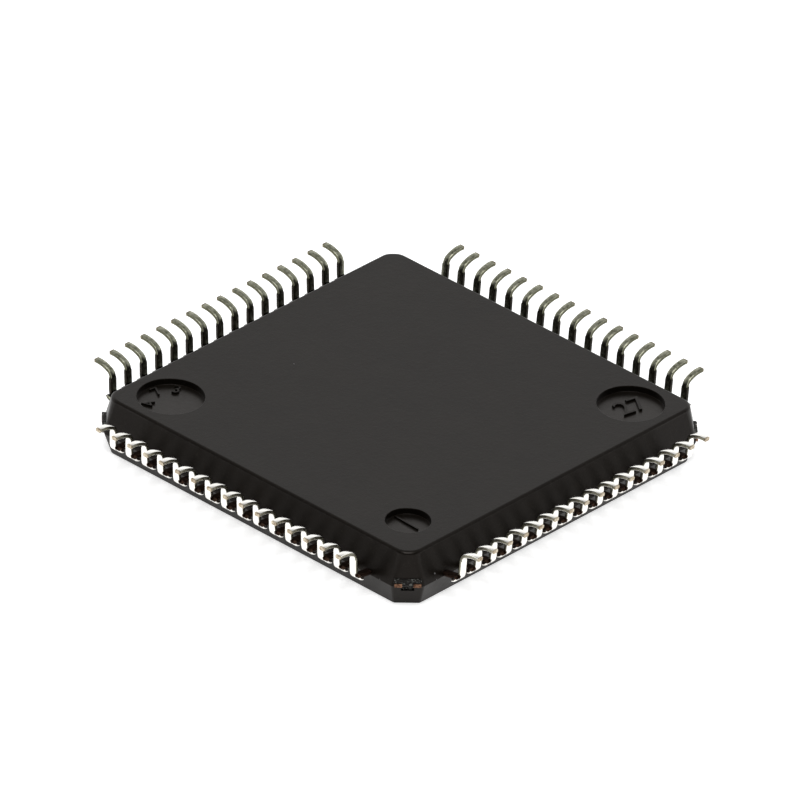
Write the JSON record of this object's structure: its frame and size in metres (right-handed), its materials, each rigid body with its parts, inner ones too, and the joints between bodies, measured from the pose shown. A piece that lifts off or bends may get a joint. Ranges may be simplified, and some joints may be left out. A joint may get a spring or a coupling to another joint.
{
  "type": "quad flat pack chip",
  "caption": "Square moulded chip package lying on its marked face, with gull-wing leads on all four sides bent up to their solder feet.",
  "frame": {"origin": "on the surface that the marked face rests on, under the middle of the body", "axes": "+Z out of the underside, the way the solder feet point; the rows of leads face +X, -X, +Y and -Y; lead 1 is on the +Y row at its -X end"},
  "size_m": [0.012, 0.012, 0.0015],
  "materials": {
    "mould": "matte",
    "tin": "satin",
    "copper": "satin",
    "attach": "matte",
    "silicon": "polished",
    "gold": "polished"
  },
  "bodies": {
    "root": {"mould_body": "mould", "die_paddle": "copper", "die_attach": "attach", "silicon_die": "silicon", "leads_01_04": "tin", "leads_05_08": "tin", "leads_09_12": "tin", "leads_13_16": "tin", "leads_17_20": "tin", "leads_21_24": "tin", "leads_25_28": "tin", "leads_29_32": "tin", "leads_33_36": "tin", "leads_37_40": "tin", "leads_41_44": "tin", "leads_45_48": "tin", "leads_49_52": "tin", "leads_53_56": "tin", "leads_57_60": "tin", "leads_61_64": "tin", "wires_01_04": "gold", "wires_05_08": "gold", "wires_09_12": "gold", "wires_13_16": "gold", "wires_17_20": "gold", "wires_21_24": "gold", "wires_25_28": "gold", "wires_29_32": "gold", "wires_33_36": "gold", "wires_37_40": "gold", "wires_41_44": "gold", "wires_45_48": "gold", "wires_49_52": "gold", "wires_53_56": "gold", "wires_57_60": "gold", "wires_61_64": "gold"}
  },
  "joints": []
}
